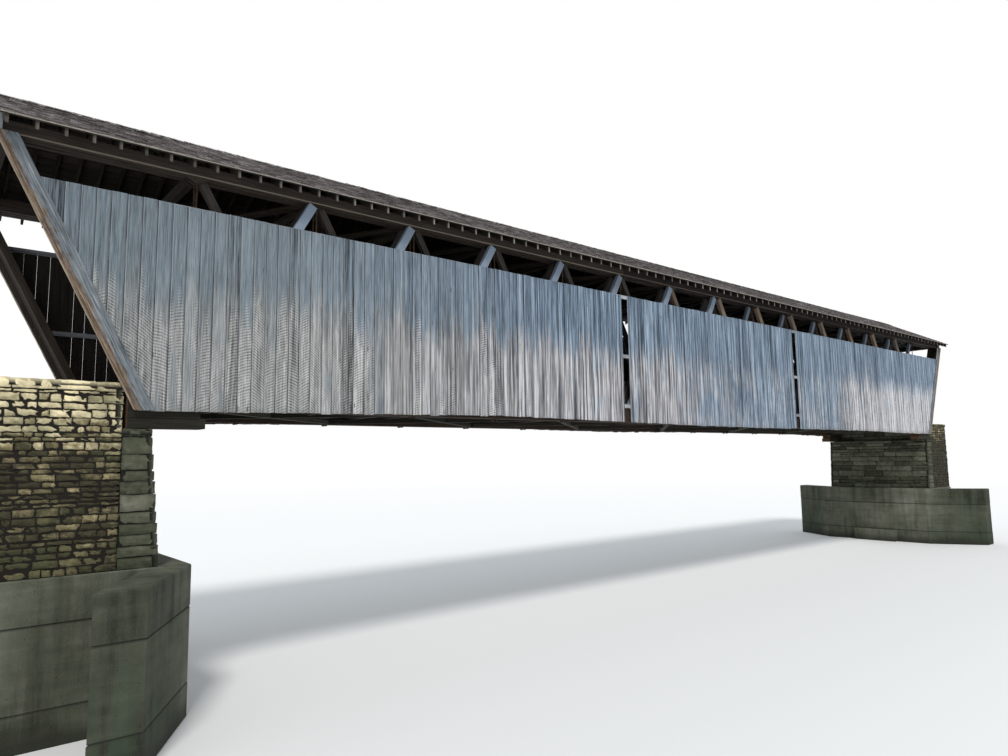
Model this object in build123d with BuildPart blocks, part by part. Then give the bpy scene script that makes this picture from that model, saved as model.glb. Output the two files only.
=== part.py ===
from build123d import *
from math import atan2, degrees, sqrt
import os

# A single-span covered timber bridge on two masonry abutments, in millimetres.
# X runs along the bridge, Y across it with the front at -Y, Z up from the foot of the abutments.

# Levels above the foot of the abutments
footing_height = 2500
siding_bottom = 5100
siding_height = 3660

# Truss layout
panel = 2340
panel_count = 14
lower_chord_depth = 330
upper_chord_rise = 4270
upper_chord_depth = 260
stick_width = 110
rod_gap = 40
stick_lanes = (-1, 0, 1)
brace_width = 185
counter_width = 150
brace_thickness = 120
block_foot = 205
block_crown = 35

# Rods
rod_diameter = 34
rod_facets = 8
nut_side = 70
nut_height = 40
nut_clearance = 15

# Width across the bridge, measured to the outer faces of the siding
bridge_width = 4800
siding_thickness = 25
nailer_thickness = 50
nailer_height = 100
low_nailer_rise = 505
middle_nailer_rise = 1910

# Siding, which hangs a little below the lower chords, and its two open slits
siding_lap = 50
slit_width = 270
slit_centre = 4755

# Raked portals
portal_foot = 17320
portal_slope = 0.5
portal_post_setback = 125
portal_post_width = 150
trim_width = 300
trim_thickness = 30
gable_thickness = 25

# Floor
floor_beam_width = 150
floor_beam_depth = 210
floor_beams_per_panel = 3
first_beam_offset = 450
deck_thickness = 75
deck_side_gap = 15

# Bracing across the bridge
tie_beam_width = 150
tie_beam_depth = 200
lateral_width = 130
lateral_depth = 110
lateral_end_gap = 10
panels_per_lower_bay = 2

# Roof
eave_overhang = 350
gable_overhang = 170
roof_slope = 0.52
seat_shoulder = 10
roof_thickness = 50
rafters_per_panel = 6
rafter_width = 50
rafter_depth = 120
tail_setback = 30
cap_half_width = 200
cap_thickness = 25

# Abutments
river_face = 16800
river_batter = 0.08
bearing_length = 650
abutment_inset = 50
bolster_depth = 350
bolster_reach = 850
approach_length = 2000
chord_end_gap = 50

# Concrete footings with splayed wings
footing_step = 500
wing_reach = 2000
wing_splay = 0.58
wing_thickness = 600
toe_width = 1900
toe_reach = 250
toe_height = 550

# Sizes that follow from the ones above
lower_chord_bottom = siding_bottom + siding_lap
lower_chord_top = lower_chord_bottom + lower_chord_depth
upper_chord_bottom = siding_bottom + upper_chord_rise
upper_chord_top = upper_chord_bottom + upper_chord_depth
siding_top = siding_bottom + siding_height
floor_beam_bottom = lower_chord_top - floor_beam_depth
deck_top = lower_chord_top + deck_thickness

siding_face = bridge_width / 2
siding_back = siding_face - siding_thickness
truss_outer = siding_back - nailer_thickness
truss_thickness = len(stick_lanes) * stick_width + (len(stick_lanes) - 1) * rod_gap
truss_middle = truss_outer - truss_thickness / 2
truss_inner = truss_outer - truss_thickness
stick_pitch = stick_width + rod_gap
brace_offset = (truss_thickness - brace_thickness) / 2
rod_offset = stick_pitch / 2
pocket_length = nut_side + 2 * nut_clearance
pocket_width = stick_pitch + pocket_length

half_truss = panel_count * panel / 2
panel_points = [i * panel - half_truss for i in range(panel_count + 1)]

clear_height = upper_chord_bottom - lower_chord_top
brace_run = panel - block_foot - block_crown
block_taper = block_foot - block_crown
brace_pitch = (clear_height + sqrt(clear_height**2 - 4 * brace_run * block_taper)) / (2 * brace_run)
block_height = block_taper / brace_pitch
brace_angle = degrees(atan2(brace_pitch, 1))
brace_length = sqrt(brace_run**2 + (clear_height - block_height) ** 2)

seat_end = river_face + bearing_length
chord_end = seat_end - chord_end_gap
seat_level = lower_chord_bottom - bolster_depth
seat_face = river_face + river_batter * (seat_level - footing_height)
abutment_width = bridge_width - 2 * abutment_inset
approach_end = seat_end + approach_length

eave_reach = siding_face + eave_overhang
rafter_seat_width = stick_width - seat_shoulder
rafter_seat_depth = roof_slope * rafter_seat_width
roof_rise = roof_thickness * sqrt(1 + roof_slope**2)
rafter_drop = rafter_depth * sqrt(1 + roof_slope**2)


def portal_edge(level):
    """How far from the middle the raked edge of a portal stands at a level."""
    return portal_foot + portal_slope * (level - siding_bottom)


def rafter_foot(y):
    """Level of the rafters' lower face at a distance from the ridge line."""
    return upper_chord_top - rafter_seat_depth + roof_slope * (truss_outer - abs(y))


def rafter_top(y):
    """Level of the rafters' upper face at a distance from the ridge line."""
    return rafter_foot(y) + rafter_drop


def roof_top(y):
    """Level of the roof's upper surface at a distance from the ridge line."""
    return rafter_top(y) + roof_rise


upper_chord_end = portal_edge(upper_chord_bottom) - portal_post_setback
roof_end = upper_chord_end + gable_overhang

sides = (("front", -1), ("back", 1))
ends = (("left", -1), ("right", 1))

finished = []


def keep(piece, label):
    """Label a finished piece and list it for writing."""
    piece.label = label
    finished.append(piece)


def across(start, end):
    """A plane across the bridge's width whose extrusion runs from start to end in Y."""
    return Plane.XZ.offset(-max(start, end))


# Concrete footing of one abutment, with a splayed wing on each side of its river face
def footing(end):
    face = river_face - footing_step
    half = abutment_width / 2
    wing_back = wing_reach * wing_splay
    wing_run = sqrt(1 + wing_splay**2)
    wing_depth = wing_thickness * wing_run
    with BuildPart() as body:
        with BuildSketch(Plane.XY):
            with BuildLine():
                Polyline(
                    (end * face, -half),
                    (end * face, half),
                    (end * (face + wing_back), half + wing_reach),
                    (end * (face + wing_back + wing_depth), half + wing_reach),
                    (end * (face + wing_depth), half),
                    (end * approach_end, half),
                    (end * approach_end, -half),
                    (end * (face + wing_depth), -half),
                    (end * (face + wing_back + wing_depth), -half - wing_reach),
                    (end * (face + wing_back), -half - wing_reach),
                    close=True,
                )
            make_face()
        extrude(amount=footing_height)
        with BuildSketch(Plane.XY):
            with Locations((end * (face - toe_reach / 2), 0)):
                Rectangle(toe_reach, toe_width)
        extrude(amount=toe_height)
    return body.part


# Masonry that stands on a footing and whose river face leans back from near to near_top
def masonry(end, near, near_top, far, top):
    half = abutment_width / 2
    with BuildPart() as body:
        with BuildSketch(across(-half, half)):
            with BuildLine():
                Polyline(
                    (end * near, footing_height),
                    (end * far, footing_height),
                    (end * far, top),
                    (end * near_top, top),
                    close=True,
                )
            make_face()
        extrude(amount=abutment_width)
    return body.part


# Bolster timbers between the masonry seat and the two lower chords, pocketed for the rod nuts
def bolsters(end):
    length = chord_end - seat_face + bolster_reach
    centre = end * (chord_end - length / 2)
    with BuildPart() as body:
        with BuildSketch(Plane.XY.offset(seat_level)):
            with Locations((centre, -truss_middle), (centre, truss_middle)):
                Rectangle(length, truss_thickness)
            with Locations((end * half_truss, -truss_middle), (end * half_truss, truss_middle)):
                Rectangle(pocket_length, pocket_width, mode=Mode.SUBTRACT)
        extrude(amount=bolster_depth)
    return body.part


# Lower chord of one truss: three sticks side by side, with room between them for the rods
def lower_chord(side):
    with BuildPart() as chord:
        with BuildSketch(Plane.XY.offset(lower_chord_bottom)):
            for lane in stick_lanes:
                with Locations((0, side * (truss_middle + lane * stick_pitch))):
                    Rectangle(2 * chord_end, stick_width)
        extrude(amount=lower_chord_depth)
    return chord.part


# Upper chord of one truss: its outer stick is planed to the roof's pitch, as a seat for the rafters
def upper_chord(side):
    outer_edge = truss_outer
    inner_edge = truss_outer - stick_width
    seat_edge = truss_outer - rafter_seat_width
    with BuildPart() as chord:
        with BuildSketch(Plane.XY.offset(upper_chord_bottom)):
            for lane in stick_lanes[:-1]:
                with Locations((0, side * (truss_middle + lane * stick_pitch))):
                    Rectangle(2 * upper_chord_end, stick_width)
        extrude(amount=upper_chord_depth)
        with BuildSketch(Plane.YZ.offset(-upper_chord_end)):
            with BuildLine():
                Polyline(
                    (side * outer_edge, upper_chord_bottom),
                    (side * inner_edge, upper_chord_bottom),
                    (side * inner_edge, upper_chord_top),
                    (side * seat_edge, upper_chord_top),
                    (side * outer_edge, rafter_foot(outer_edge)),
                    close=True,
                )
            make_face()
        extrude(amount=2 * upper_chord_end)
    return chord.part


# Sloping members in the panels of one truss, in lanes across its thickness
def sloping_members(side, width, lanes, leaning_in):
    middle_level = (lower_chord_top + upper_chord_bottom) / 2
    with BuildPart() as members:
        for lane in lanes:
            near = side * truss_middle + lane - brace_thickness / 2
            far = near + brace_thickness
            with BuildSketch(across(near, far)):
                for start in panel_points[:-1]:
                    middle = start + panel / 2
                    lean = 1 if (middle < 0) == leaning_in else -1
                    with Locations((middle, middle_level)):
                        Rectangle(brace_length, width, rotation=lean * brace_angle)
            extrude(amount=brace_thickness)
    return members.part


# Angle blocks of one truss: one on each chord stick at every panel point, with the rods between them
def angle_blocks(side):
    with BuildPart() as blocks:
        for lane in stick_lanes:
            near = side * truss_middle + lane * stick_pitch - stick_width / 2
            with BuildSketch(across(near, near + stick_width)):
                for x in panel_points:
                    for level, up in ((lower_chord_top, 1), (upper_chord_bottom, -1)):
                        with BuildLine():
                            Polyline(
                                (x - block_foot, level),
                                (x - block_crown, level + up * block_height),
                                (x + block_crown, level + up * block_height),
                                (x + block_foot, level),
                                close=True,
                            )
                        make_face()
            extrude(amount=stick_width)
    return blocks.part


# Tension rods of one truss, with a square nut at each end
def truss_rods(side):
    spots = [(x, side * truss_middle + lane) for x in panel_points for lane in (-rod_offset, rod_offset)]
    with BuildPart() as rods:
        with BuildSketch(Plane.XY.offset(lower_chord_bottom)):
            with Locations(*spots):
                RegularPolygon(rod_diameter / 2, rod_facets)
        extrude(amount=upper_chord_top - lower_chord_bottom)
        for level in (lower_chord_bottom - nut_height, upper_chord_top):
            with BuildSketch(Plane.XY.offset(level)):
                with Locations(*spots):
                    Rectangle(nut_side, nut_side)
            extrude(amount=nut_height)
    return rods.part


# Floor beams framed in between the lower chords, flush with their tops, in even steps within each panel
def floor_beams():
    step = (panel - 2 * first_beam_offset) / (floor_beams_per_panel - 1)
    places = [
        start + first_beam_offset + k * step
        for start in panel_points[:-1]
        for k in range(floor_beams_per_panel)
    ]
    places = [-half_truss - first_beam_offset] + places + [half_truss + first_beam_offset]
    with BuildPart() as beams:
        with BuildSketch(Plane.XY.offset(floor_beam_bottom)):
            with Locations(*[(x, 0) for x in places]):
                Rectangle(floor_beam_width, 2 * truss_inner)
        extrude(amount=floor_beam_depth)
    return beams.part


# Plank deck on the floor beams
def floor_deck():
    with BuildPart() as deck:
        with BuildSketch(Plane.XY.offset(lower_chord_top)):
            Rectangle(2 * chord_end, 2 * (truss_inner - deck_side_gap))
        extrude(amount=deck_thickness)
    return deck.part


# Crossed bracing in the bays between two chords
def crossed_bracing(level, bay_length, bay_middles, post_width):
    length = bay_length - post_width
    angle = degrees(atan2(2 * truss_inner, length))
    reach = sqrt(length**2 + (2 * truss_inner) ** 2)
    with BuildPart() as bracing:
        for x in bay_middles:
            with BuildSketch(Plane.XY.offset(level)):
                with Locations((x, 0)):
                    Rectangle(reach, lateral_width, rotation=angle)
                    Rectangle(reach, lateral_width, rotation=-angle)
                    Rectangle(length, 2 * truss_inner, mode=Mode.INTERSECT)
            extrude(amount=lateral_depth)
    return bracing.part


# Tie beams between the upper chords, at every panel point and at the portals
def tie_beams():
    last = upper_chord_end - tie_beam_width / 2
    with BuildPart() as beams:
        with BuildSketch(Plane.XY.offset(upper_chord_bottom)):
            with Locations(*[(x, 0) for x in [-last] + panel_points + [last]]):
                Rectangle(tie_beam_width, 2 * truss_inner)
        extrude(amount=tie_beam_depth)
    return beams.part


# Rafters of one slope, from the eave to the ridge
def rafters(side):
    step = panel / rafters_per_panel
    last = upper_chord_end - rafter_width / 2
    count = int((last - step) / step) + 1
    distances = [step / 2 + k * step for k in range(count)] + [last]
    places = [end * distance for distance in distances for end in (-1, 1)]
    tail = eave_reach - tail_setback
    with BuildPart() as frame:
        with BuildSketch(*[Plane.YZ.offset(x - rafter_width / 2) for x in places]):
            with BuildLine():
                Polyline(
                    (side * tail, rafter_top(tail)),
                    (0, rafter_top(0)),
                    (0, rafter_foot(0)),
                    (side * tail, rafter_foot(tail)),
                    close=True,
                )
            make_face()
        extrude(amount=rafter_width)
    return frame.part


# One slope of the roof: boards and shingles in one thickness
def roof_side(side):
    with BuildPart() as slope:
        with BuildSketch(Plane.YZ.offset(-roof_end)):
            with BuildLine():
                Polyline(
                    (side * eave_reach, rafter_top(eave_reach)),
                    (0, rafter_top(0)),
                    (0, roof_top(0)),
                    (side * eave_reach, roof_top(eave_reach)),
                    close=True,
                )
            make_face()
        extrude(amount=2 * roof_end)
    return slope.part


# Cap over the ridge
def ridge_cap():
    with BuildPart() as cap:
        with BuildSketch(Plane.YZ.offset(-roof_end)):
            with BuildLine():
                Polyline(
                    (-cap_half_width, roof_top(cap_half_width)),
                    (0, roof_top(0)),
                    (cap_half_width, roof_top(cap_half_width)),
                    (cap_half_width, roof_top(cap_half_width) + cap_thickness),
                    (0, roof_top(0) + cap_thickness),
                    (-cap_half_width, roof_top(cap_half_width) + cap_thickness),
                    close=True,
                )
            make_face()
        extrude(amount=2 * roof_end)
    return cap.part


# One stretch of siding, given as an outline of distances along the bridge and levels
def siding_stretch(side, outline):
    near, far = sorted((side * siding_back, side * siding_face))
    with BuildPart() as wall:
        with BuildSketch(across(near, far)):
            with BuildLine():
                Polyline(*outline, close=True)
            make_face()
        extrude(amount=siding_thickness)
    return wall.part


def outer_outline(end):
    """Outline of a siding stretch from a slit to the raked edge of a portal."""
    inner = slit_centre + slit_width / 2
    return [
        (end * inner, siding_bottom),
        (end * portal_edge(siding_bottom), siding_bottom),
        (end * portal_edge(siding_top), siding_top),
        (end * inner, siding_top),
    ]


def middle_outline():
    """Outline of the siding stretch between the two slits."""
    inner = slit_centre - slit_width / 2
    return [(-inner, siding_bottom), (inner, siding_bottom), (inner, siding_top), (-inner, siding_top)]


# Nailers along one side, in three rows between the truss and the siding
def nailers(side):
    near, far = sorted((side * truss_outer, side * siding_back))
    rises = (low_nailer_rise, middle_nailer_rise, siding_height - nailer_height / 2)
    with BuildPart() as rows:
        with BuildSketch(across(near, far)):
            for rise in rises:
                level = siding_bottom + rise
                low = level - nailer_height / 2
                high = level + nailer_height / 2
                low_reach = portal_edge(low) - portal_post_setback
                high_reach = portal_edge(high) - portal_post_setback
                with BuildLine():
                    Polyline(
                        (-low_reach, low),
                        (low_reach, low),
                        (high_reach, high),
                        (-high_reach, high),
                        close=True,
                    )
                make_face()
        extrude(amount=nailer_thickness)
    return rows.part


def raked_outline(end, setback, width, low, high):
    """Outline of a piece that runs along a portal's raked edge, cut level at both ends."""
    run = width * sqrt(1 + portal_slope**2)
    return [
        (end * (portal_edge(low) - setback), low),
        (end * (portal_edge(low) - setback - run), low),
        (end * (portal_edge(high) - setback - run), high),
        (end * (portal_edge(high) - setback), high),
    ]


# Raking posts of one portal, from the lower chords to the ends of the upper chords
def portal_posts(end):
    outline = raked_outline(
        end, portal_post_setback, portal_post_width, lower_chord_top, upper_chord_bottom
    )
    with BuildPart() as posts:
        for side in (-1, 1):
            near, far = sorted((side * truss_inner, side * truss_outer))
            with BuildSketch(across(near, far)):
                with BuildLine():
                    Polyline(*outline, close=True)
                make_face()
            extrude(amount=truss_thickness)
    return posts.part


# Trim boards over the raked edges of the siding at one portal
def portal_trim(end):
    outline = raked_outline(end, 0, trim_width, siding_bottom, upper_chord_bottom)
    with BuildPart() as boards:
        for side in (-1, 1):
            near, far = sorted((side * siding_face, side * (siding_face + trim_thickness)))
            with BuildSketch(across(near, far)):
                with BuildLine():
                    Polyline(*outline, close=True)
                make_face()
            extrude(amount=trim_thickness)
    return boards.part


# Gable over one portal, between the upper chords' ends and the roof
def gable(end):
    start = min(end * upper_chord_end, end * (upper_chord_end + gable_thickness))
    with BuildPart() as boards:
        with BuildSketch(Plane.YZ.offset(start)):
            with BuildLine():
                Polyline(
                    (-siding_face, upper_chord_bottom),
                    (siding_face, upper_chord_bottom),
                    (siding_face, rafter_top(siding_face)),
                    (0, rafter_top(0)),
                    (-siding_face, rafter_top(siding_face)),
                    close=True,
                )
            make_face()
        extrude(amount=gable_thickness)
    return boards.part


# Make every piece
for name, end in ends:
    keep(footing(end), f"{name}_footing")
    keep(masonry(end, river_face, seat_face, seat_end, seat_level), f"{name}_abutment")
    keep(masonry(end, seat_end, seat_end, approach_end, deck_top), f"{name}_approach_wall")
    keep(bolsters(end), f"{name}_bolsters")
    keep(portal_posts(end), f"{name}_portal_posts")
    keep(portal_trim(end), f"{name}_portal_trim")
    keep(gable(end), f"{name}_gable")

for name, side in sides:
    keep(lower_chord(side), f"{name}_lower_chord")
    keep(upper_chord(side), f"{name}_upper_chord")
    keep(sloping_members(side, brace_width, (-brace_offset, brace_offset), True), f"{name}_main_braces")
    keep(sloping_members(side, counter_width, (0,), False), f"{name}_counter_braces")
    keep(angle_blocks(side), f"{name}_angle_blocks")
    keep(truss_rods(side), f"{name}_truss_rods")
    keep(nailers(side), f"{name}_nailers")
    keep(siding_stretch(side, outer_outline(-1)), f"{name}_siding_left")
    keep(siding_stretch(side, middle_outline()), f"{name}_siding_middle")
    keep(siding_stretch(side, outer_outline(1)), f"{name}_siding_right")
    keep(rafters(side), f"{name}_rafters")
    keep(roof_side(side), f"{name}_roof_slope")

keep(floor_beams(), "floor_beams")
keep(floor_deck(), "floor_deck")
keep(tie_beams(), "tie_beams")
keep(ridge_cap(), "ridge_cap")

lower_bay = panels_per_lower_bay * panel
lower_middles = [
    lower_bay * (k + 0.5) - half_truss for k in range(panel_count // panels_per_lower_bay)
]
lower_level = floor_beam_bottom - lateral_depth
keep(crossed_bracing(lower_level, lower_bay, lower_middles, lateral_end_gap), "lower_laterals")

upper_middles = [x + panel / 2 for x in panel_points[:-1]]
keep(crossed_bracing(upper_chord_bottom, panel, upper_middles, tie_beam_width), "upper_laterals")

# Write one file for each piece
os.makedirs("parts", exist_ok=True)
for piece in finished:
    export_step(piece, f"parts/{piece.label}.step")
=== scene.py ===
import bpy
import bmesh
import math
import numpy as np
from itertools import pairwise
from mathutils import Matrix, Vector


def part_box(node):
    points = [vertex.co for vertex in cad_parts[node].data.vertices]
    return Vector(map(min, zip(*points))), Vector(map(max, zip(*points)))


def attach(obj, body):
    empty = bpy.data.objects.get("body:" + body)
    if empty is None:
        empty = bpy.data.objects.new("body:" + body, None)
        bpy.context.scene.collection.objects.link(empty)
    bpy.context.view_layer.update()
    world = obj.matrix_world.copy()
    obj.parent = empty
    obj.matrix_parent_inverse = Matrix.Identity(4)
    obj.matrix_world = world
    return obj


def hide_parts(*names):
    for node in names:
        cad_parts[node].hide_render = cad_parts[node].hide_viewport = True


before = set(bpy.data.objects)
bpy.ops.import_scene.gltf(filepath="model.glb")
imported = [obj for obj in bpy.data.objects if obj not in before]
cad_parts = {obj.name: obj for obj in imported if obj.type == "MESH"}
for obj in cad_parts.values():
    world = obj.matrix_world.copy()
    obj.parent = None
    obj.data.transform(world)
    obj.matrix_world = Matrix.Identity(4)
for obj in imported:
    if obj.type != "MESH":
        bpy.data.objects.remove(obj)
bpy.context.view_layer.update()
dice = np.random.default_rng(20)
uniform, normal = dice.uniform, dice.normal

# Sizes in metres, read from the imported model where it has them
wall_low, wall_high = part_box("front_siding_middle")
SIDING_BOTTOM, SIDING_TOP = wall_low.z, wall_high.z
FACE, BACK = -wall_low.y, -wall_high.y
BOARD = FACE - BACK
SLIT_INNER, SLIT_OUTER = wall_high.x, -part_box("front_siding_left")[1].x
PORTAL_SLOPE = 0.5
PORTAL_PITCH = math.sqrt(1 + PORTAL_SLOPE ** 2)
PORTAL_FOOT = -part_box("front_siding_left")[0].x - PORTAL_SLOPE * (SIDING_TOP - SIDING_BOTTOM)

chord_low, chord_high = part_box("front_lower_chord")
LOWER_BOTTOM, LOWER_TOP, CHORD_END = chord_low.z, chord_high.z, chord_high.x
TRUSS_OUTER, TRUSS_INNER = -chord_low.y, -chord_high.y
TRUSS_MIDDLE = (TRUSS_OUTER + TRUSS_INNER) / 2
THIRD = (TRUSS_OUTER - TRUSS_INNER) / 3
chord_low, chord_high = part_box("front_upper_chord")
UPPER_BOTTOM, UPPER_TOP, UPPER_END = chord_low.z, chord_high.z, chord_high.x
STICK = 0.11
LANE = (TRUSS_OUTER - TRUSS_INNER - STICK) / 2

PANELS = 14
NUT, NUT_HEIGHT, ROD = 0.07, 0.04, 0.017
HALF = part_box("front_truss_rods")[1].x - NUT / 2
PANEL = 2 * HALF / PANELS
POINTS = [i * PANEL - HALF for i in range(PANELS + 1)]
BLOCK_FOOT, BLOCK_CROWN = 0.205, 0.035
BRACE_WIDTH, COUNTER_WIDTH, BRACE_THICK, BRACE_LANE = 0.185, 0.15, 0.118, 0.145
POST_SETBACK, POST_WIDTH = 0.125, 0.15
TRIM_WIDTH, TRIM_THICK = 0.3, 0.03
NAILER_DEPTH, NAILER_LENGTH, NAILER_SHIFT, LAST_JOINT = 0.098, 4.68, 0.5, 14.0
NAILER_RISES = (0.505, 1.91, SIDING_TOP - SIDING_BOTTOM - 0.05)
BEAM_WIDTH, LATERAL_WIDTH = 0.148, 0.13

ROOF_SLOPE = 0.52
PITCH = math.sqrt(1 + ROOF_SLOPE ** 2)
SEAT = STICK - 0.01
RAFTER, RAFTER_WIDTH, ROOF_THICK = 0.12, 0.048, 0.05
EAVE, ROOF_END = -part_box("front_roof_slope")[0].y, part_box("front_roof_slope")[1].x
ALONG = EAVE * PITCH
EXPOSURE = 0.138

beam_low, beam_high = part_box("floor_beams")
BEAM_BOTTOM, BEAM_TOP, BEAM_HALF = beam_low.z, beam_high.z, beam_high.y
DECK_TOP, DECK_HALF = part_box("floor_deck")[1].z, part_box("floor_deck")[1].y
stone_low, stone_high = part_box("right_abutment")
RIVER_FACE, SEAT_END, STONE_HALF = stone_low.x, stone_high.x, stone_high.y
FOOTING_TOP, SEAT_LEVEL = stone_low.z, stone_high.z
BATTER = 0.08
ROAD_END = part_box("right_approach_wall")[1].x
FOOTING_FACE = 16.3
LIFTS = (0.0, 0.56, 1.8, FOOTING_TOP)
WING, SPLAY, WING_THICK = 2.0, 0.58, 0.6
TOE_REACH, TOE_WIDTH, TOE_HEIGHT = 0.25, 1.9, 0.55

# Clearances between pieces and inside their solids, and the range of the grain's random starts
HAIR, GAP, SEEDS = 0.001, 0.002, 300

SIDES = (("front", -1), ("back", 1))
ENDS = (("left", -1), ("right", 1))


def portal_edge(z):
    """Distance from the middle to a portal's raked edge at a level."""
    return PORTAL_FOOT + PORTAL_SLOPE * (z - SIDING_BOTTOM)


def rafter_foot(y):
    """Level of the rafters' lower face at a distance from the ridge line."""
    return UPPER_TOP - ROOF_SLOPE * SEAT + ROOF_SLOPE * (TRUSS_OUTER - abs(y))


def rafter_top(y):
    """Level of the rafters' upper face at a distance from the ridge line."""
    return rafter_foot(y) + RAFTER * PITCH


def slope_point(side, x, d, h):
    """The point at a distance d up the slope from the eave and a height h square to the rafters' top."""
    y = EAVE - d / PITCH
    z = rafter_top(EAVE) + d * ROOF_SLOPE / PITCH
    return (x, side * (y + h * ROOF_SLOPE / PITCH), z + h / PITCH)


def spans(start, stop, draw, sizes, least=0.0, slack=0.01, gap=0.0):
    """Start and size of pieces in a row. draw picks a size, and a rest below least joins the last piece."""
    while start < stop - slack:
        size = min(draw(*sizes), stop - start)
        if stop - (start + size) < least:
            size = stop - start
        yield start, size
        start += size + gap


def add_object(name, data):
    """A new object in the scene."""
    made = bpy.data.objects.new(name, data)
    bpy.context.scene.collection.objects.link(made)
    return made


# Mesh code: a stack gathers many small solids into one mesh
class Stack:
    """Each vertex has a grain coordinate (across, along, seed), a tone and an extra value from 0 to 1."""

    def __init__(self):
        self.verts, self.faces, self.grain, self.tone, self.extra = [], [], [], [], []
        self.count = 0

    def add(self, verts, faces, grain, tone=None, extra=0.0):
        tone = uniform(0, 1) if tone is None else tone
        self.verts.append(np.asarray(verts, float))
        self.grain.append(np.asarray(grain, float))
        self.tone.append(np.full(len(verts), tone))
        self.extra.append(np.broadcast_to(np.asarray(extra, float), (len(verts),)).copy())
        self.faces.extend([tuple(i + self.count for i in face) for face in faces])
        self.count += len(verts)

    def make(self, name, material, node, slot):
        mesh = bpy.data.meshes.new(name)
        mesh.from_pydata([tuple(v) for v in np.concatenate(self.verts)], [], self.faces)
        for label, kind, field, data in (("grain", "FLOAT_VECTOR", "vector", self.grain),
                                         ("tone", "FLOAT", "value", self.tone),
                                         ("extra", "FLOAT", "value", self.extra)):
            layer = mesh.attributes.new(label, kind, "POINT")
            layer.data.foreach_set(field, np.concatenate(data).astype(np.float32).ravel())
        work = bmesh.new()
        work.from_mesh(mesh)
        bmesh.ops.recalc_face_normals(work, faces=work.faces)
        work.to_mesh(mesh)
        work.free()
        mesh.materials.append(material)
        piece = add_object(name, mesh)
        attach(piece, "root")
        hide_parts(node)


def grid_faces(rows, columns, closed=False):
    """Four-sided faces between the rows of a grid of points, whose columns may close into a ring."""
    width = columns if closed else columns - 1
    return [(r * columns + k, r * columns + (k + 1) % columns, (r + 1) * columns + (k + 1) % columns,
             (r + 1) * columns + k) for r in range(rows - 1) for k in range(width)]


def tube_faces(rings, around):
    """Faces round a row of rings, and one at each end."""
    ends = [tuple(reversed(range(around))), tuple(range((rings - 1) * around, rings * around))]
    return grid_faces(rings, around, closed=True) + ends


def unit(vector):
    vector = np.asarray(vector, float)
    return vector / np.linalg.norm(vector)


def bar(stack, start, end, out, width, depth, rings=3, cut=0.006, wobble=0.003, tone=None, extra=0.0,
        tip=None, far_tip=None, slant=0.0):
    """A timber from start to end with eased edges. width runs across it and depth along out. tip marks its
    ends, far_tip the half of them that out points to, and slant skews its ends."""
    start, end = np.asarray(start, float), np.asarray(end, float)
    length = np.linalg.norm(end - start)
    along = unit(end - start)
    across = unit(np.cross(along, out))
    out = np.cross(across, along)
    w, d = width / 2, depth / 2
    shape = [(-w + cut, -d), (w - cut, -d), (w, -d + cut), (w, d - cut),
             (w - cut, d), (-w + cut, d), (-w, d - cut), (-w, -d + cut)]
    places = list(np.linspace(0, 1, rings))
    marks = [extra] * rings
    if tip is not None:
        places = [0, 0.004 / length] + places[1:-1] + [1 - 0.004 / length, 1]
        marks = [tip] + marks + [tip]
    seed = uniform(0, SEEDS)
    verts, grain, extras = [], [], []
    for s, mark in zip(places, marks):
        inside = 0.02 < s < 0.98
        shift = normal(0, wobble, 2) * inside
        for a, o in shape:
            reach = s * length + slant * a
            verts.append(start + along * reach + across * (a + shift[0]) + out * (o + shift[1]))
            grain.append((a + 0.6 * o, reach, seed))
            extras.append(far_tip if far_tip is not None and mark == tip and o > 0 else mark)
    stack.add(verts, tube_faces(len(places), len(shape)), grain, tone, extras)


def inset(shape, amount):
    """An outline moved inwards, with mitred corners."""
    ahead = np.roll(shape, -1, axis=0) - shape
    behind = np.roll(ahead, 1, axis=0)
    turn = np.sign(np.sum(shape[:, 0] * np.roll(shape[:, 1], -1) - shape[:, 1] * np.roll(shape[:, 0], -1)))
    first = turn * np.stack([-behind[:, 1], behind[:, 0]], 1) / np.linalg.norm(behind, axis=1)[:, None]
    second = turn * np.stack([-ahead[:, 1], ahead[:, 0]], 1) / np.linalg.norm(ahead, axis=1)[:, None]
    return shape + amount * (first + second) / (1 + np.sum(first * second, 1))[:, None]


def roughen(outline, step, amount):
    """An outline with more points along its edges, each moved a little inwards."""
    points = []
    for k in range(len(outline)):
        a, b = np.array(outline[k], float), np.array(outline[(k + 1) % len(outline)], float)
        count = max(1, int(np.linalg.norm(b - a) / step))
        points += [a + (b - a) * i / count for i in range(count)]
    shape = np.array(points)
    return shape + (inset(shape, 1.0) - shape) * np.abs(normal(0, amount, len(shape)))[:, None]


def prism(stack, outline, place, depth, cut=0.006, along=(0, 1), origin=(0, 0), tone=None):
    """A solid with eased edges: place maps a point (u, v) of the outline and a depth o to a point."""
    shape = np.array(outline, float)
    small = inset(shape, cut)
    along = unit(along)
    across = np.array((along[1], -along[0]))
    seed = uniform(0, SEEDS)
    verts, grain = [], []
    for ring, o in ((small, 0.0), (shape, cut), (shape, depth - cut), (small, depth)):
        for point in ring:
            verts.append(place(point[0], o, point[1]))
            away = point - np.array(origin)
            grain.append((away @ across + 0.6 * o, away @ along, seed))
    stack.add(verts, tube_faces(4, len(shape)), grain, tone)


def tube(stack, start, end, radius, around=10):
    """A round rod."""
    start, end = np.asarray(start, float), np.asarray(end, float)
    along = unit(end - start)
    first = unit(np.cross(along, (0.3, 1, 0.1)))
    second = np.cross(along, first)
    verts = [centre + radius * (first * math.cos(t) + second * math.sin(t))
             for centre in (start, end) for t in np.linspace(0, 2 * math.pi, around, endpoint=False)]
    stack.add(verts, tube_faces(2, around), verts)


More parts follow.
